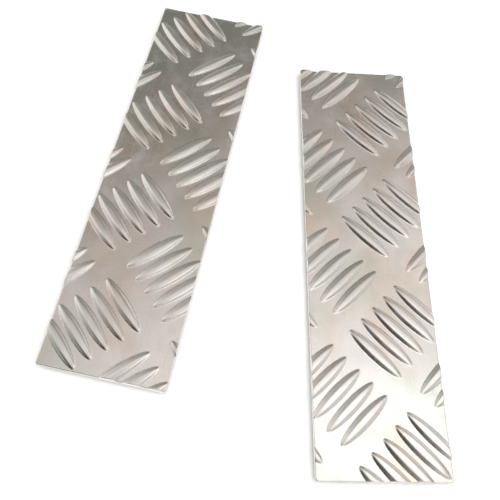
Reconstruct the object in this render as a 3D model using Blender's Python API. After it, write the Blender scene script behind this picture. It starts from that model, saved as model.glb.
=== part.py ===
"""A pair of self-adhesive kick plates cut from five-bar aluminium tread plate.

Plate A lies along +Y with its centre over the origin and its tread up (+Z). Plate B is the
same plate turned end for end beside it. Z = 0 is the underside of the release liners, which
is what the pair lies on. Each plate carries three strips of double-sided foam tape along its
back, and each strip keeps its paper liner until the plate is stuck in place.
"""
import math

import bmesh
import bpy
from mathutils import Matrix, Vector

# Sheet, in metres
PLATE_WIDTH = 0.0550
PLATE_LENGTH = 0.2050
SHEET_THICKNESS = 0.0020
CORNER_RADIUS = 0.0012
CORNER_SEGMENTS = 3

# Raised bars: groups of five, each group filling a square cell set at 45 degrees
CELL_SIDE = 0.0395
BARS_PER_GROUP = 5
BAR_PITCH = 0.0075
BAR_LENGTH = 0.0290
BAR_WIDTH = 0.0046
BAR_HEIGHT = 0.0012
BAR_SINK = 0.0003       # how far a bar's axis lies below the sheet's top face
BAR_SIDES = 8
BAR_RINGS = 6
COLUMN_SPACING = CELL_SIDE / math.sqrt(2)
GROUP_STEP = CELL_SIDE * math.sqrt(2)

# Where the sheet was cut: centre of a falling group, from each plate's own centre
FALLING_COLUMN_X = 0.0108
PLATE_A_PHASE = 0.0155
PLATE_B_PHASE = 0.0248

# Foam tape and liner strips on the back
STRIP_WIDTH = 0.0120
STRIP_LENGTH = 0.1950
STRIP_SPACING = 0.0180
TAPE_THICKNESS = 0.0011
LINER_THICKNESS = 0.0002
FACE_GAP = 0.0003       # clearance kept between faces that touch

# Plate B beside plate A
PLATE_B_CENTRE = (-0.0939, 0.0365)
PLATE_B_TURN = math.radians(180.0 - 11.3)

TAPE_BOTTOM = LINER_THICKNESS + FACE_GAP
SHEET_BOTTOM = TAPE_BOTTOM + TAPE_THICKNESS + FACE_GAP
SHEET_TOP = SHEET_BOTTOM + SHEET_THICKNESS
CUT_MARGIN = 0.0100     # extra sheet all round, removed by the outline cut


def clear_scene():
    for item in list(bpy.data.objects):
        bpy.data.objects.remove(item, do_unlink=True)


def new_collection(name):
    collection = bpy.data.collections.new(name)
    bpy.context.scene.collection.children.link(collection)
    return collection


def new_material(name, colour, roughness, metallic):
    material = bpy.data.materials.new(name)
    material.use_nodes = True
    shader = material.node_tree.nodes["Principled BSDF"]
    shader.inputs["Base Color"].default_value = (*colour, 1.0)
    shader.inputs["Roughness"].default_value = roughness
    shader.inputs["Metallic"].default_value = metallic
    material.diffuse_color = (*colour, 1.0)
    return material


def add_object(name, bm, collection, material=None):
    mesh = bpy.data.meshes.new(name)
    bmesh.ops.recalc_face_normals(bm, faces=bm.faces)
    bm.to_mesh(mesh)
    bm.free()
    item = bpy.data.objects.new(name, mesh)
    if material is not None:
        mesh.materials.append(material)
    collection.objects.link(item)
    return item


def box_bmesh(width, length, low, high):
    """A box centred on X and Y between two heights."""
    bm = bmesh.new()
    size = Matrix.Diagonal((width, length, high - low, 1.0))
    place = Matrix.Translation((0.0, 0.0, (low + high) / 2))
    bmesh.ops.create_cube(bm, size=1.0, matrix=place @ size)
    return bm


def make_guide(item):
    item.hide_render = True
    item.display_type = "WIRE"
    return item


def bar_template():
    """One raised bar along X: pointed at both ends, widest and highest in the middle."""
    bm = bmesh.new()
    bmesh.ops.create_uvsphere(bm, u_segments=BAR_SIDES, v_segments=BAR_RINGS, radius=1.0)
    for vert in bm.verts:
        waist = math.sqrt(max(0.0, 1.0 - vert.co.z ** 2))
        along = vert.co.z * BAR_LENGTH / 2
        across = vert.co.y * waist * BAR_WIDTH / 2
        up = vert.co.x * waist * (BAR_HEIGHT + BAR_SINK)
        vert.co = Vector((along, across, up))
    bmesh.ops.recalc_face_normals(bm, faces=bm.faces)
    mesh = bpy.data.meshes.new("bar_template")
    bm.to_mesh(mesh)
    bm.free()
    return mesh


def group_centres(phase):
    """Centre and bar angle of every group that reaches onto a plate."""
    reach_x = PLATE_WIDTH / 2 + COLUMN_SPACING
    reach_y = PLATE_LENGTH / 2 + GROUP_STEP / 2
    columns = math.ceil(2 * reach_x / COLUMN_SPACING)
    rows = math.ceil(2 * reach_y / GROUP_STEP)
    for column in range(-columns, columns + 1):
        x = FALLING_COLUMN_X + column * COLUMN_SPACING
        falling = column % 2 == 0
        stagger = 0.0 if falling else GROUP_STEP / 2
        for row in range(-rows, rows + 1):
            y = phase + stagger + row * GROUP_STEP
            if abs(x) < reach_x and abs(y) < reach_y:
                yield Vector((x, y, 0.0)), math.radians(-45.0 if falling else 45.0)


def bars_bmesh(template, phase):
    """All the raised bars that touch a plate's outline, as closed lens-shaped bodies."""
    bm = bmesh.new()
    half_x = PLATE_WIDTH / 2 + CUT_MARGIN / 2
    half_y = PLATE_LENGTH / 2 + CUT_MARGIN / 2
    for centre, angle in group_centres(phase):
        turn = Matrix.Rotation(angle, 4, "Z")
        for index in range(BARS_PER_GROUP):
            offset = (index - (BARS_PER_GROUP - 1) / 2) * BAR_PITCH
            middle = centre + turn @ Vector((0.0, offset, 0.0))
            reach = BAR_LENGTH / 2 * math.cos(angle)
            if abs(middle.x) - reach > half_x or abs(middle.y) - reach > half_y:
                continue
            place = Matrix.Translation(middle + Vector((0.0, 0.0, SHEET_TOP - BAR_SINK))) @ turn
            first = len(bm.verts)
            bm.from_mesh(template)
            bm.verts.ensure_lookup_table()
            bmesh.ops.transform(bm, matrix=place, verts=bm.verts[first:])
    return bm


def outline_bmesh():
    """The plate's plan outline with eased corners, tall enough to cut sheet and bars."""
    bm = box_bmesh(PLATE_WIDTH, PLATE_LENGTH, SHEET_BOTTOM - CUT_MARGIN, SHEET_TOP + CUT_MARGIN)
    uprights = [edge for edge in bm.edges if abs(edge.verts[0].co.z - edge.verts[1].co.z) > CUT_MARGIN]
    bmesh.ops.bevel(bm, geom=uprights, offset=CORNER_RADIUS, segments=CORNER_SEGMENTS,
                    profile=0.5, affect="EDGES")
    return bm


def add_boolean(item, name, operation, other):
    modifier = item.modifiers.new(name, "BOOLEAN")
    modifier.operation = operation
    modifier.solver = "EXACT"
    modifier.object = other


def add_tread_plate(name, phase, template, parts, cutters, material):
    """The sheet with its rolled-in bars, cut to the outline."""
    width = PLATE_WIDTH + 4 * CUT_MARGIN
    length = PLATE_LENGTH + 4 * CUT_MARGIN
    plate = add_object(name, box_bmesh(width, length, SHEET_BOTTOM, SHEET_TOP), parts, material)
    bars = make_guide(add_object(name + "_bars", bars_bmesh(template, phase), cutters))
    outline = make_guide(add_object(name + "_outline", outline_bmesh(), cutters))
    add_boolean(plate, "rolled_bars", "UNION", bars)
    add_boolean(plate, "guillotine", "INTERSECT", outline)
    return [plate, bars, outline]


def add_strips(name, parts, tape_material, liner_material):
    """Three strips of foam tape along the back, each with its own liner."""
    made = []
    for number in range(1, 4):
        x = (number - 2) * STRIP_SPACING
        tape_box = box_bmesh(STRIP_WIDTH, STRIP_LENGTH, TAPE_BOTTOM, TAPE_BOTTOM + TAPE_THICKNESS)
        tape = add_object(f"{name}_tape_{number}", tape_box, parts, tape_material)
        liner_box = box_bmesh(STRIP_WIDTH, STRIP_LENGTH, 0.0, LINER_THICKNESS)
        liner = add_object(f"{name}_liner_{number}", liner_box, parts, liner_material)
        for strip in (tape, liner):
            strip.location.x = x
            made.append(strip)
    return made


def add_plate(name, phase, centre, turn, template, parts, cutters, materials):
    """One complete kick plate on an empty at the centre of its back."""
    pivot = bpy.data.objects.new(name + "_pivot", None)
    pivot.empty_display_size = PLATE_WIDTH / 2
    pivot.location = (centre[0], centre[1], 0.0)
    pivot.rotation_euler = (0.0, 0.0, turn)
    parts.objects.link(pivot)
    pieces = add_tread_plate(name, phase, template, parts, cutters, materials["aluminium"])
    pieces += add_strips(name, parts, materials["foam"], materials["paper"])
    for piece in pieces:
        piece.parent = pivot
    return pivot


def build():
    clear_scene()
    parts = new_collection("kick_plate")
    cutters = new_collection("kick_plate_cutters")
    materials = {
        "aluminium": new_material("mill_aluminium", (0.72, 0.71, 0.68), 0.32, 1.0),
        "foam": new_material("grey_foam", (0.075, 0.078, 0.082), 0.85, 0.0),
        "paper": new_material("liner_paper", (0.80, 0.74, 0.60), 0.55, 0.0),
    }
    template = bar_template()
    add_plate("plate_a", PLATE_A_PHASE, (0.0, 0.0), 0.0, template, parts, cutters, materials)
    add_plate("plate_b", PLATE_B_PHASE, PLATE_B_CENTRE, PLATE_B_TURN, template, parts, cutters, materials)
    bpy.data.meshes.remove(template)
    bpy.context.view_layer.update()


build()
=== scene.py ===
"""Looks for the pair of tread plate kick plates: fine tread geometry, finishes, light, camera."""
import math

import bpy
import numpy as np
from mathutils import Matrix, Quaternion, Vector, noise


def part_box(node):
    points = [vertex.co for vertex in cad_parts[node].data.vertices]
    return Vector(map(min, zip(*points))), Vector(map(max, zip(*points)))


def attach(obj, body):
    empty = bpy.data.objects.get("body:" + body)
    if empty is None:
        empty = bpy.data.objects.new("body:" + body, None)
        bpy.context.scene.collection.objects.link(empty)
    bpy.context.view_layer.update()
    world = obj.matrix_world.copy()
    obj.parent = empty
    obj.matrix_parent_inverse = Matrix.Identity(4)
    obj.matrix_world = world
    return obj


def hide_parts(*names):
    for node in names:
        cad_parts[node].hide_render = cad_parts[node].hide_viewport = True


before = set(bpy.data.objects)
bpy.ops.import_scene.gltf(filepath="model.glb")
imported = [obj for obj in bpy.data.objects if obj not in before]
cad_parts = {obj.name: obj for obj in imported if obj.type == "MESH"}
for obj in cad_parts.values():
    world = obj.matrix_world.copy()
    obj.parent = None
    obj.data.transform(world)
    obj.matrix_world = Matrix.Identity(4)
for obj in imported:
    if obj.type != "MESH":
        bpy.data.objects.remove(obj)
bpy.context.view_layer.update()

MM = 0.001

# The plates, read from the frame
PLATE_LOW, PLATE_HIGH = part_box("plate_a")
PLATE_WIDTH = PLATE_HIGH.x - PLATE_LOW.x
PLATE_LENGTH = PLATE_HIGH.y - PLATE_LOW.y
SHEET_THICKNESS = 2.0 * MM
SHEET_BOTTOM = PLATE_LOW.z
SHEET_TOP = SHEET_BOTTOM + SHEET_THICKNESS
BAR_HEIGHT = PLATE_HIGH.z - SHEET_TOP
PLATE_B_TURN = math.radians(180.0 - 11.3)
PLATE_B_LOW, PLATE_B_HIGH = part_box("plate_b")
PLATE_B_CENTRE = (PLATE_B_LOW + PLATE_B_HIGH) / 2

# Rolled tread pattern
CELL_SIDE = 39.5 * MM
BARS_PER_GROUP = 5
BAR_PITCH = 7.5 * MM
COLUMN_SPACING = CELL_SIDE / math.sqrt(2)
GROUP_STEP = CELL_SIDE * math.sqrt(2)
GROUP_TURN = math.radians(45.0)
FALLING_COLUMN_X = 10.8 * MM
PHASES = {"plate_a": 15.5 * MM, "plate_b": 24.8 * MM}
CELL_DIVISIONS = 108
MERGE_DISTANCE = 0.02 * MM

# One raised bar
BAR_LENGTH = 28.8 * MM
BAR_WIDTH = 5.4 * MM
BAR_TAPER = 0.62        # 0.5 is an ellipse in plan, more has sharper points
BAR_TIP = 0.02 * MM     # half width left at the points
BAR_SQUARENESS = 3.1    # 2 is a round section, more is a flatter crown with steeper sides
BAR_FOOT = 0.01         # how softly the sides run out into the sheet
CREST_FLATNESS = 3      # how long the crest keeps its height before it falls to the points
CREST_FALL = 0.8

# Guillotined edge and the sheet's waviness
CORNER_RADIUS = 1.2 * MM
CORNER_CUTS = 3
RIM_RADIUS = 0.35 * MM
RIM_LOOPS = (0.06 * MM, 0.15 * MM, 0.35 * MM)
RIM_DROP = 0.8          # share of the rim radius that the edge is rolled over by
WAVES_PER_METRE = (80.0, 70.0)
WAVE_SLICE = 3.0
WAVE_HEIGHT = 0.10 * MM
SMOOTH_ANGLE = math.radians(50.0)

# Tape strips and their release liners
STRIPS = 3
STRIP_GRID = (10, 160)
TAPE_LOW, TAPE_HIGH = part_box("plate_a_tape_2")
LINER_LOW, LINER_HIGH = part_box("plate_a_liner_2")
STRIP_SPACING = (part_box("plate_a_tape_3")[0] - TAPE_LOW).x
TAPE_BULGE = 0.16 * MM
TAPE_DRAG = 0.12 * MM
TAPE_BAND = 0.5         # share of the tape's thickness that is at its full width
DRAGS_PER_METRE = (90.0, 420.0, 900.0)
LINER_CURL = 0.14 * MM
LINER_CURL_START = 0.9  # share of the half length that lies flat

# Mill aluminium. A pattern says how many features a metre holds across, along and through; an
# edge says where a mark begins to show and where it is full.
BRIGHT_METAL = (0.80, 0.79, 0.77, 1.0)
WARM_CAST = (0.76, 0.65, 0.56, 1.0)
GREEN_CAST = (0.64, 0.70, 0.64, 1.0)
# Painted highlight: a lighter metal laid on the bar crests, stronger the higher the bar rises
CREST_HIGHLIGHT_METAL = (0.86, 0.855, 0.84, 1.0)
PIT_DIRT = (0.40, 0.38, 0.35, 1.0)
WARM_CLOUDS = (34.0, 22.0, 1.0)
GREEN_CLOUDS = (19.0, 27.0, 1.0)
GREEN_CLOUDS_TURN = 0.6
SMUDGES = (95.0, 80.0, 1.0)
ROLLING_GRAIN = (5200.0, 260.0, 1.0)
FROST = (2600.0, 2600.0, 1.0)
PITS_PER_METRE = 330.0
WARM_EDGE = (0.44, 0.64)
GREEN_EDGE = (0.48, 0.66)
SMUDGE_EDGE = (0.45, 0.75)
PIT_EDGE = (0.035, 0.075)
# Bar heights where the painted crest highlight begins and where it is full
CREST_HIGHLIGHT_EDGE = (0.35, 0.95)
CREST_EDGE = (0.1, 0.6)
SCRATCH_SOFTNESS = 0.05
SCRATCHES = (           # turn, pattern, and the level above which a streak is a scratch
    (0.32, (1500.0, 32.0, 1.0), 0.68),
    (-0.9, (1900.0, 40.0, 1.0), 0.70),
    (1.35, (1300.0, 26.0, 1.0), 0.69),
)
METAL_CASTS = {"warm": 0.8, "green": 0.6, "crest_highlight": 0.5, "pits": 0.6}
METAL_ROUGHNESS = {"bare": 0.22, "grain": 0.08, "smudges": 0.12, "scratches": 0.12, "pits": 0.2,
                   "crests": 0.05}
METAL_RELIEF = {"grain": 0.35, "frost": 0.35, "scratches": 0.8, "pits": 1.5}

# Foam tape
FOAM_DARK = (0.035, 0.037, 0.040, 1.0)
FOAM_DUSTY = (0.075, 0.077, 0.080, 1.0)
FOAM_CELLS_PER_METRE = 3200.0
FOAM_DUST_PER_METRE = 900.0
FOAM_DUST_EDGE = (0.4, 0.7)
FOAM_ROUGHNESS = {"bare": 0.78, "dust": 0.15}

# Release paper
PAPER_DARK = (0.60, 0.53, 0.38, 1.0)
PAPER_LIGHT = (0.68, 0.61, 0.46, 1.0)
PAPER_AGED = (0.55, 0.47, 0.33, 1.0)
PAPER_FIBRES = (900.0, 220.0, 900.0)
PAPER_FIBRE_EDGE = (0.35, 0.7)
PAPER_CLOUDS_PER_METRE = 60.0
PAPER_CLOUD_EDGE = (0.4, 0.75)
PAPER_AGEING = 0.5
PAPER_ROUGHNESS = {"bare": 0.42, "fibres": 0.16}

# Floor
FLOOR_SIZE = 8.0
FLOOR_DROP = 0.2 * MM
FLOOR_COLOUR = (0.93, 0.93, 0.93, 1.0)
FLOOR_ROUGHNESS = 0.9

# Studio sky: its colour by how nearly a direction points to the sky's main side, from square to
# it or behind (0) to straight at it (1). It is darkest at 0.24 and brightest in a band at 0.68.
SKY_SIDE = (0.40, -0.44, 0.80)
SKY_STRENGTH = 2.85
SKY_STOPS = (
    (0.00, (0.125, 0.126, 0.118)),
    (0.12, (0.060, 0.068, 0.057)),
    (0.24, (0.033, 0.042, 0.034)),
    (0.33, (0.082, 0.073, 0.064)),
    (0.42, (0.128, 0.111, 0.099)),
    (0.52, (0.220, 0.198, 0.186)),
    (0.61, (0.345, 0.323, 0.311)),
    (0.68, (0.400, 0.382, 0.370)),
    (0.77, (0.270, 0.256, 0.248)),
    (0.87, (0.200, 0.188, 0.181)),
    (0.95, (0.185, 0.174, 0.168)),
)

# Openings in the sky: which side each is on, where its soft edge starts and where it is full
WINDOW = {"side": (-0.78, 0.38, 0.50), "edge": (0.80, 0.93), "colour": (0.36, 0.346, 0.335, 1.0)}
WALL = {"side": (-0.80, -0.58, -0.25), "edge": (0.80, 0.97), "colour": (0.30, 0.29, 0.28, 1.0)}
DOORWAY = {"side": (-0.58, -0.42, 0.70), "edge": (0.86, 0.94), "colour": (0.005, 0.005, 0.005, 1.0)}

# Camera
CAMERA_AT = Vector((-69.6, -128.2, 259.7)) * MM
CAMERA_AIM = Vector((-53.4, -4.1, 4.2)) * MM
CAMERA_ROLL = math.radians(8.6)
CAMERA_LENS = 45.3
CAMERA_NEAR = 10.0 * MM


# ------------------------------------------------------------------ shader expressions

class Value:
    """One socket of a node tree. Arithmetic on it adds Math nodes."""

    def __init__(self, nodes, socket):
        self.nodes = nodes
        self.socket = socket

    def math(self, operation, *others):
        inputs = dict(enumerate((self, *others)))
        return self.nodes.add("ShaderNodeMath", {"operation": operation}, inputs)

    def __add__(self, other):
        return self.math("ADD", other)

    def __mul__(self, other):
        return self.math("MULTIPLY", other)

    def __sub__(self, other):
        return self.math("SUBTRACT", other)

    def __rsub__(self, other):
        return self.nodes.add("ShaderNodeMath", {"operation": "SUBTRACT"}, {0: other, 1: self})

    __radd__ = __add__
    __rmul__ = __mul__

    def ramp(self, low, high):
        """0 below low, 1 above high, smooth between."""
        settings = {"interpolation_type": "SMOOTHSTEP"}
        return self.nodes.add("ShaderNodeMapRange", settings, {0: self, 1: low, 2: high})


class Nodes:
    """A node tree under construction."""

    def __init__(self, tree):
        self.tree = tree

    def add(self, kind, settings=None, inputs=None, output=0):
        """One node: its settings first, then a value or a link for each socket that is named."""
        node = self.tree.nodes.new(kind)
        for name, value in (settings or {}).items():
            if name == "stops":
                self.set_stops(node.color_ramp.elements, value)
            else:
                setattr(node, name, value)
        for name, value in (inputs or {}).items():
            if isinstance(value, Value):
                self.tree.links.new(value.socket, node.inputs[name])
            else:
                node.inputs[name].default_value = value
        return Value(self, node.outputs[output])

    def set_stops(self, elements, stops):
        """Fills a colour ramp, which starts with two stops of its own."""
        for index, (place, colour) in enumerate(stops):
            stop = elements[index] if index < 2 else elements.new(place)
            stop.position = place
            stop.color = (*colour, 1.0)

    def mix(self, mask, low, high):
        """Blends two colours by a mask."""
        settings = {"data_type": "RGBA"}
        return self.add("ShaderNodeMix", settings, {0: mask, 6: low, 7: high}, output=2)


class Finish(Nodes):
    """A material under construction."""

    def __init__(self, name, **constants):
        self.material = bpy.data.materials.new(name)
        self.material.use_nodes = True
        super().__init__(self.material.node_tree)
        for name, value in constants.items():
            self.shader_input(name).default_value = value

    def shader_input(self, name):
        """A socket of the shader, such as Base Color from base_color."""
        return self.tree.nodes["Principled BSDF"].inputs[name.replace("_", " ").title()]

    def noise(self, vector, scale=1.0, detail=3.0, roughness=0.5):
        inputs = {"Vector": vector, "Scale": scale, "Detail": detail, "Roughness": roughness}
        return self.add("ShaderNodeTexNoise", None, inputs)

    def pattern(self, source, per_metre, turn=0.0, detail=3.0, roughness=0.5):
        """Noise that is stretched along each axis."""
        inputs = {"Vector": source, "Scale": per_metre, "Rotation": (0.0, 0.0, turn)}
        stretched = self.add("ShaderNodeMapping", None, inputs)
        return self.noise(stretched, detail=detail, roughness=roughness)

    def bump(self, height, strength, distance):
        inputs = {"Height": height, "Strength": strength, "Distance": distance}
        return self.add("ShaderNodeBump", None, inputs)

    def feed(self, **values):
        for name, value in values.items():
            self.tree.links.new(value.socket, self.shader_input(name))
        return self.material


# ------------------------------------------------------------------ finishes

def scratch_mask(finish, sheet):
    """Thin handling scratches in several directions."""
    scratches = None
    for turn, per_metre, level in SCRATCHES:
        streaks = finish.pattern(sheet, per_metre, turn, detail=2.0)
        marks = streaks.ramp(level, level + SCRATCH_SOFTNESS)
        scratches = marks if scratches is None else scratches.math("MAXIMUM", marks)
    return scratches


def mill_aluminium():
    """Bright rolled aluminium: lengthwise grain, handling scratches, faint warm and green casts, and a
    painted highlight that lightens the bar crests.
    """
    finish = Finish("mill_aluminium", metallic=1.0)
    sheet = finish.add("ShaderNodeUVMap", {"uv_map": "sheet"})
    crest = finish.add("ShaderNodeAttribute", {"attribute_name": "crest"}, output="Fac")
    warm = finish.pattern(sheet, WARM_CLOUDS, detail=4.0).ramp(*WARM_EDGE)
    green = finish.pattern(sheet, GREEN_CLOUDS, GREEN_CLOUDS_TURN).ramp(*GREEN_EDGE)
    smudges = finish.pattern(sheet, SMUDGES, detail=5.0, roughness=0.62).ramp(*SMUDGE_EDGE)
    grain = finish.pattern(sheet, ROLLING_GRAIN, roughness=0.6)
    frost = finish.pattern(sheet, FROST, detail=2.0)
    scratches = scratch_mask(finish, sheet)
    pit_distance = finish.add("ShaderNodeTexVoronoi", None, {"Vector": sheet, "Scale": PITS_PER_METRE})
    pits = 1.0 - pit_distance.ramp(*PIT_EDGE)
    # Painted highlight: the bar crests are lightened by their height
    crest_highlight = crest.ramp(*CREST_HIGHLIGHT_EDGE)

    colour = finish.mix(warm * METAL_CASTS["warm"], BRIGHT_METAL, WARM_CAST)
    colour = finish.mix(green * METAL_CASTS["green"], colour, GREEN_CAST)
    colour = finish.mix(crest_highlight * METAL_CASTS["crest_highlight"], colour, CREST_HIGHLIGHT_METAL)
    colour = finish.mix(pits * METAL_CASTS["pits"], colour, PIT_DIRT)

    rough = METAL_ROUGHNESS["bare"] + grain * METAL_ROUGHNESS["grain"]
    rough = rough + smudges * METAL_ROUGHNESS["smudges"] + scratches * METAL_ROUGHNESS["scratches"]
    rough = rough + pits * METAL_ROUGHNESS["pits"] + crest.ramp(*CREST_EDGE) * METAL_ROUGHNESS["crests"]

    relief = grain * METAL_RELIEF["grain"] + frost * METAL_RELIEF["frost"]
    relief = relief - scratches * METAL_RELIEF["scratches"] - pits * METAL_RELIEF["pits"]
    normal = finish.bump(relief, strength=0.25, distance=0.02 * MM)
    return finish.feed(base_color=colour, roughness=rough, normal=normal)


def foam_tape():
    """Closed-cell foam: nearly black, with small open cells along its cut sides."""
    finish = Finish("foam_tape", metallic=0.0)
    place = finish.add("ShaderNodeTexCoord", output="Object")
    cells = finish.add("ShaderNodeTexVoronoi", None, {"Vector": place, "Scale": FOAM_CELLS_PER_METRE})
    dust = finish.noise(place, scale=FOAM_DUST_PER_METRE, detail=4.0)
    colour = finish.mix(dust.ramp(*FOAM_DUST_EDGE), FOAM_DARK, FOAM_DUSTY)
    rough = FOAM_ROUGHNESS["bare"] + dust * FOAM_ROUGHNESS["dust"]
    normal = finish.bump(cells, strength=0.6, distance=0.12 * MM)
    return finish.feed(base_color=colour, roughness=rough, normal=normal)


def liner_paper():
    """Glassine release paper: smooth and honey-coloured, with faint fibres and darker patches."""
    finish = Finish("liner_paper", metallic=0.0)
    place = finish.add("ShaderNodeTexCoord", output="Object")
    fibres = finish.pattern(place, PAPER_FIBRES, detail=4.0, roughness=0.65)
    clouds = finish.noise(place, scale=PAPER_CLOUDS_PER_METRE)
    colour = finish.mix(fibres.ramp(*PAPER_FIBRE_EDGE), PAPER_DARK, PAPER_LIGHT)
    colour = finish.mix(clouds.ramp(*PAPER_CLOUD_EDGE) * PAPER_AGEING, colour, PAPER_AGED)
    rough = PAPER_ROUGHNESS["bare"] + fibres * PAPER_ROUGHNESS["fibres"]
    normal = finish.bump(fibres, strength=0.3, distance=0.03 * MM)
    return finish.feed(base_color=colour, roughness=rough, normal=normal)


# ------------------------------------------------------------------ mesh helpers

def select_only(item):
    bpy.ops.object.select_all(action="DESELECT")
    bpy.context.view_layer.objects.active = item
    item.select_set(True)


def read_places(mesh):
    """Every vertex's place, one row each."""
    places = np.empty(len(mesh.vertices) * 3, np.float32)
    mesh.vertices.foreach_get("co", places)
    return places.reshape(-1, 3).astype(float)


def write_places(mesh, places):
    mesh.vertices.foreach_set("co", places.astype(np.float32).ravel())


def copy_placed(item, place):
    """A copy with a mesh of its own, which the place is applied to."""
    copy = item.copy()
    copy.data = item.data.copy()
    copy.data.transform(place)
    bpy.context.scene.collection.objects.link(copy)
    return copy


def hand_over(item, body, node, material):
    """Gives a finished piece its material and its place in the assembly."""
    item.data.materials.clear()
    item.data.materials.append(material)
    select_only(item)
    bpy.ops.object.shade_smooth_by_angle(angle=SMOOTH_ANGLE)
    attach(item, body)
    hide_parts(node)


# ------------------------------------------------------------------ tread plate

def bar_profile(along, across):
    """Height of one raised bar, 0 to 1: a pointed lens in plan with a crowned section."""
    reach = np.clip(np.abs(along) / (BAR_LENGTH / 2), 0.0, 1.0)
    half_width = BAR_WIDTH / 2 * (1.0 - reach ** 2) ** BAR_TAPER + BAR_TIP
    crest = (1.0 - reach ** CREST_FLATNESS) ** CREST_FALL
    inside = 1.0 - np.abs(across / half_width) ** BAR_SQUARENESS
    softened = (inside + np.sqrt(inside ** 2 + BAR_FOOT)) / 2
    return crest * np.clip(softened, 0.0, 1.0)


def tread_cell():
    """One square of tread with its five bars along X, as a fine grid."""
    bpy.ops.object.select_all(action="DESELECT")
    bpy.ops.mesh.primitive_grid_add(x_subdivisions=CELL_DIVISIONS, y_subdivisions=CELL_DIVISIONS,
                                    size=CELL_SIDE, location=(0.0, 0.0, 0.0))
    cell = bpy.context.active_object
    places = read_places(cell.data)
    height = np.zeros(len(places))
    for index in range(BARS_PER_GROUP):
        offset = (index - (BARS_PER_GROUP - 1) / 2) * BAR_PITCH
        height = np.maximum(height, bar_profile(places[:, 0], places[:, 1] - offset))
    places[:, 2] = height * BAR_HEIGHT
    write_places(cell.data, places)
    crest = cell.data.attributes.new("crest", "FLOAT", "POINT")
    crest.data.foreach_set("value", height.astype(np.float32))
    return cell


def group_places(phase):
    """Where every cell that reaches onto a plate lies, and how it is turned."""
    reach_x = PLATE_WIDTH / 2 + COLUMN_SPACING
    reach_y = PLATE_LENGTH / 2 + GROUP_STEP / 2
    columns = math.ceil(2 * reach_x / COLUMN_SPACING)
    rows = math.ceil(2 * reach_y / GROUP_STEP)
    for column in range(-columns, columns + 1):
        x = FALLING_COLUMN_X + column * COLUMN_SPACING
        falling = column % 2 == 0
        stagger = 0.0 if falling else GROUP_STEP / 2
        turn = -GROUP_TURN if falling else GROUP_TURN
        for row in range(-rows, rows + 1):
            y = phase + stagger + row * GROUP_STEP
            if abs(x) < reach_x and abs(y) < reach_y:
                yield Matrix.Translation((x, y, 0.0)) @ Matrix.Rotation(turn, 4, "Z")


def outline_planes():
    """Point and outward normal of each straight cut round the plate, corners included."""
    half = Vector((PLATE_WIDTH / 2, PLATE_LENGTH / 2, 0.0))
    for side in (-1, 1):
        yield Vector((side * half.x, 0.0, 0.0)), Vector((side, 0.0, 0.0))
        yield Vector((0.0, side * half.y, 0.0)), Vector((0.0, side, 0.0))
    for side_x in (-1, 1):
        for side_y in (-1, 1):
            centre = Vector((side_x * (half.x - CORNER_RADIUS), side_y * (half.y - CORNER_RADIUS), 0.0))
            for cut in range(1, CORNER_CUTS + 1):
                angle = math.radians(90.0 * cut / (CORNER_CUTS + 1))
                normal = Vector((side_x * math.cos(angle), side_y * math.sin(angle), 0.0))
                yield centre + normal * CORNER_RADIUS, normal


def bisect(point, normal, clear):
    bpy.ops.mesh.select_all(action="SELECT")
    bpy.ops.mesh.bisect(plane_co=point, plane_no=normal, clear_outer=clear)


def cut_outline():
    """Cuts the plate out and adds the loops that its rolled edge needs, in edit mode."""
    planes = list(outline_planes())
    for point, normal in planes:
        bisect(point, normal, True)
    for point, normal in planes:
        for inset in RIM_LOOPS:
            bisect(point - normal * inset, normal, False)


def inset_from_edge(x, y):
    """Distance of a point from the plate's rounded outline, inwards."""
    over_x = np.abs(x) - (PLATE_WIDTH / 2 - CORNER_RADIUS)
    over_y = np.abs(y) - (PLATE_LENGTH / 2 - CORNER_RADIUS)
    outside = np.hypot(np.maximum(over_x, 0.0), np.maximum(over_y, 0.0))
    inside = np.minimum(np.maximum(over_x, over_y), 0.0)
    return CORNER_RADIUS - outside - inside


def settle_surface(plate):
    """Sets the sheet's slight waviness, rolls its cut edge over and lifts it to its place."""
    places = read_places(plate.data)
    depth = RIM_RADIUS - np.clip(inset_from_edge(places[:, 0], places[:, 1]), 0.0, RIM_RADIUS)
    drop = RIM_RADIUS - np.sqrt(RIM_RADIUS ** 2 - depth ** 2)
    across, along = WAVES_PER_METRE
    wave = [noise.noise(Vector((x * across, y * along, WAVE_SLICE))) for x, y, _ in places]
    places[:, 2] += SHEET_TOP - drop * RIM_DROP + np.array(wave) * WAVE_HEIGHT
    write_places(plate.data, places)


def give_thickness(plate):
    """Pulls the cut edge down to the sheet's back and closes it."""
    bpy.ops.object.mode_set(mode="EDIT")
    bpy.ops.mesh.select_mode(type="EDGE")
    bpy.ops.mesh.select_all(action="DESELECT")
    bpy.ops.mesh.select_non_manifold()
    bpy.ops.mesh.extrude_region_move(TRANSFORM_OT_translate={"value": (0.0, 0.0, -SHEET_THICKNESS)})
    bpy.ops.object.mode_set(mode="OBJECT")
    for vert in plate.data.vertices:
        if vert.select:
            vert.co.z = SHEET_BOTTOM
    bpy.ops.object.mode_set(mode="EDIT")
    close_mesh()
    bpy.ops.object.mode_set(mode="OBJECT")


def close_mesh():
    """Fills the open loop that is selected, in edit mode, and turns every face outwards."""
    bpy.ops.mesh.edge_face_add()
    bpy.ops.mesh.select_all(action="SELECT")
    bpy.ops.mesh.normals_make_consistent(inside=False)


def map_sheet(plate):
    """A UV map in metres along the sheet, so that the finish follows the plate."""
    layer = plate.data.uv_layers.new(name="sheet")
    corners = np.empty(len(plate.data.loops), np.int32)
    plate.data.loops.foreach_get("vertex_index", corners)
    across_along = read_places(plate.data)[corners, :2]
    layer.data.foreach_set("uv", across_along.astype(np.float32).ravel())


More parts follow.
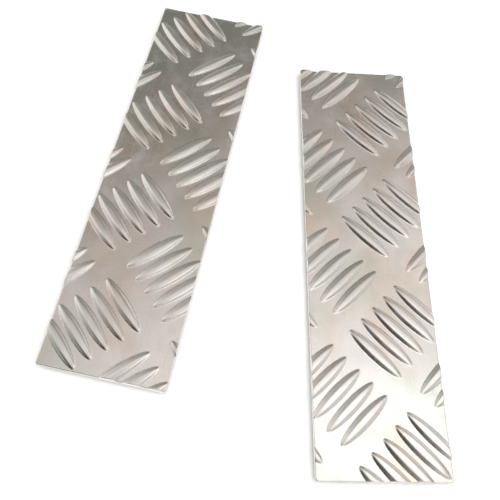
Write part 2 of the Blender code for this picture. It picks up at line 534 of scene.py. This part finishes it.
def tread_plate(name, cell):
    """Lays cells as the rolls print them, cuts out the plate and gives it its thickness."""
    copies = [copy_placed(cell, place) for place in group_places(PHASES[name])]
    select_only(copies[0])
    for copy in copies:
        copy.select_set(True)
    bpy.ops.object.join()
    plate = bpy.context.active_object
    plate.name = name + "_tread"
    bpy.ops.object.mode_set(mode="EDIT")
    bpy.ops.mesh.select_all(action="SELECT")
    bpy.ops.mesh.remove_doubles(threshold=MERGE_DISTANCE)
    cut_outline()
    bpy.ops.object.mode_set(mode="OBJECT")
    settle_surface(plate)
    give_thickness(plate)
    map_sheet(plate)
    return plate


# ------------------------------------------------------------------ tape and liner

def strip_blank(size):
    """A flat sheet of one strip, lying along Y and centred."""
    bpy.ops.object.select_all(action="DESELECT")
    divisions_x, divisions_y = STRIP_GRID
    bpy.ops.mesh.primitive_grid_add(x_subdivisions=divisions_x, y_subdivisions=divisions_y, size=1.0)
    blank = bpy.context.active_object
    blank.data.transform(Matrix.Diagonal((size.x, size.y, 1.0, 1.0)))
    return blank


def drag_sides(strip, size):
    """Leaves the long sides uneven, as a knife drags foam."""
    across, along, through = DRAGS_PER_METRE
    for vert in strip.data.vertices:
        place = vert.co
        drag = noise.noise(Vector((place.x * across, place.y * along, place.z * through)))
        if abs(place.x) > size.x / 2 - 2 * TAPE_BULGE:
            place.x -= math.copysign(abs(drag) * TAPE_DRAG, place.x)


def tape_strip():
    """Foam tape: its cut sides stand out halfway up."""
    size = TAPE_HIGH - TAPE_LOW
    face = size - Vector((2 * TAPE_BULGE, 2 * TAPE_BULGE, 0.0))
    strip = strip_blank(face)
    grow = (size.x / face.x, size.y / face.y, 1.0)
    shrink = (face.x / size.x, face.y / size.y, 1.0)
    bpy.ops.object.mode_set(mode="EDIT")
    bpy.ops.mesh.select_mode(type="EDGE")
    bpy.ops.mesh.select_all(action="DESELECT")
    bpy.ops.mesh.select_non_manifold()
    flare = (1.0 - TAPE_BAND) / 2
    for share, scale in ((flare, grow), (TAPE_BAND, None), (flare, shrink)):
        drop = (0.0, 0.0, -size.z * share)
        bpy.ops.mesh.extrude_region_move(TRANSFORM_OT_translate={"value": drop})
        if scale:
            bpy.ops.transform.resize(value=scale)
    close_mesh()
    bpy.ops.object.mode_set(mode="OBJECT")
    strip.data.transform(Matrix.Translation((0.0, 0.0, TAPE_HIGH.z)))
    drag_sides(strip, size)
    return strip


def liner_strip():
    """Release liner: thin paper that lifts a little at both ends."""
    size = LINER_HIGH - LINER_LOW
    strip = strip_blank(size)
    for vert in strip.data.vertices:
        curl = max(abs(vert.co.y) / (size.y / 2) - LINER_CURL_START, 0.0) / (1.0 - LINER_CURL_START)
        vert.co.z = LINER_HIGH.z + LINER_CURL * curl ** 2
    select_only(strip)
    thickness = strip.modifiers.new("thickness", "SOLIDIFY")
    thickness.thickness = size.z
    thickness.offset = -1.0
    bpy.ops.object.modifier_apply(modifier=thickness.name)
    return strip


def lay_strips(strip, kind, material, plates):
    """Copies one strip to every place it has under both plates."""
    for plate, place in plates.items():
        for number in range(1, STRIPS + 1):
            node = f"{plate}_{kind}_{number}"
            side = (number - (STRIPS + 1) / 2) * STRIP_SPACING
            copy = copy_placed(strip, place @ Matrix.Translation((side, 0.0, 0.0)))
            copy.name = node + "_strip"
            body = node if kind == "liner" else plate
            hand_over(copy, body, node, material)
    bpy.data.objects.remove(strip)


# ------------------------------------------------------------------ stage, light, camera

def floor():
    bpy.ops.object.select_all(action="DESELECT")
    bpy.ops.mesh.primitive_plane_add(size=FLOOR_SIZE, location=(0.0, 0.0, -FLOOR_DROP))
    plane = bpy.context.active_object
    plane.name = "floor"
    finish = Finish("floor_white", base_color=FLOOR_COLOUR, roughness=FLOOR_ROUGHNESS)
    plane.data.materials.append(finish.material)


def area_light(name, place, aim, size, power, colour=(1.0, 1.0, 1.0)):
    light = bpy.data.lights.new(name, "AREA")
    light.shape = "RECTANGLE"
    light.size, light.size_y = size
    light.energy = power
    light.color = colour
    lamp = bpy.data.objects.new(name, light)
    lamp.location = place
    lamp.rotation_euler = (Vector(aim) - Vector(place)).to_track_quat("-Z", "Y").to_euler()
    bpy.context.scene.collection.objects.link(lamp)
    return lamp


def sky_facing(nodes, side):
    """How nearly a direction points to one side of the room: 1 straight at it."""
    direction = nodes.add("ShaderNodeTexCoord", output="Generated")
    inputs = {0: direction, 1: Vector(side).normalized()}
    return nodes.add("ShaderNodeVectorMath", {"operation": "DOT_PRODUCT"}, inputs, output="Value")


def studio_sky():
    """A room with a bright band round its main side, a window, a pale wall and a dark doorway."""
    world = bpy.data.worlds.new("studio")
    world.use_nodes = True
    nodes = Nodes(world.node_tree)
    facing = sky_facing(nodes, SKY_SIDE)
    sky = nodes.add("ShaderNodeValToRGB", {"stops": SKY_STOPS}, {"Fac": facing}, output="Color")
    for opening in (WINDOW, WALL, DOORWAY):
        mask = sky_facing(nodes, opening["side"]).ramp(*opening["edge"])
        sky = nodes.mix(mask, sky, opening["colour"])
    background = world.node_tree.nodes["Background"]
    world.node_tree.links.new(sky.socket, background.inputs["Color"])
    background.inputs["Strength"].default_value = SKY_STRENGTH
    bpy.context.scene.world = world


def studio():
    """The sky, a low panel at the far side, a small one above plate A's near end and a floor fill."""
    studio_sky()
    area_light("side_panel", place=(0.72, 0.82, 0.27), aim=(0.0, 0.0, 0.0), size=(0.72, 0.44),
               power=0.75, colour=(1.0, 0.98, 0.97))
    near = area_light("near_panel", place=(0.085, -0.12, 0.26), aim=(0.085, -0.12, 0.0),
                      size=(0.20, 0.26), power=0.14)
    near.visible_camera = False
    fill = area_light("floor_fill", place=(0.1, -0.3, 1.4), aim=(0.0, 0.0, 0.0), size=(1.4, 1.4),
                      power=18.0, colour=(0.97, 0.99, 1.0))
    fill.visible_glossy = False
    bpy.context.scene.view_settings.view_transform = "Standard"


def camera():
    data = bpy.data.cameras.new("camera")
    data.lens = CAMERA_LENS
    data.clip_start = CAMERA_NEAR
    eye = bpy.data.objects.new("camera", data)
    eye.location = CAMERA_AT
    look = (CAMERA_AIM - CAMERA_AT).to_track_quat("-Z", "Y")
    eye.rotation_mode = "QUATERNION"
    eye.rotation_quaternion = look @ Quaternion((0.0, 0.0, 1.0), CAMERA_ROLL)
    bpy.context.scene.collection.objects.link(eye)
    bpy.context.scene.camera = eye


def main():
    camera()
    studio()
    floor()
    aluminium = mill_aluminium()
    cell = tread_cell()
    beside = Matrix.Translation((PLATE_B_CENTRE.x, PLATE_B_CENTRE.y, 0.0))
    plates = {"plate_a": Matrix.Identity(4), "plate_b": beside @ Matrix.Rotation(PLATE_B_TURN, 4, "Z")}
    for name, place in plates.items():
        plate = tread_plate(name, cell)
        plate.data.transform(place)
        hand_over(plate, name, name, aluminium)
    bpy.data.objects.remove(cell)
    lay_strips(tape_strip(), "tape", foam_tape(), plates)
    lay_strips(liner_strip(), "liner", liner_paper(), plates)


main()
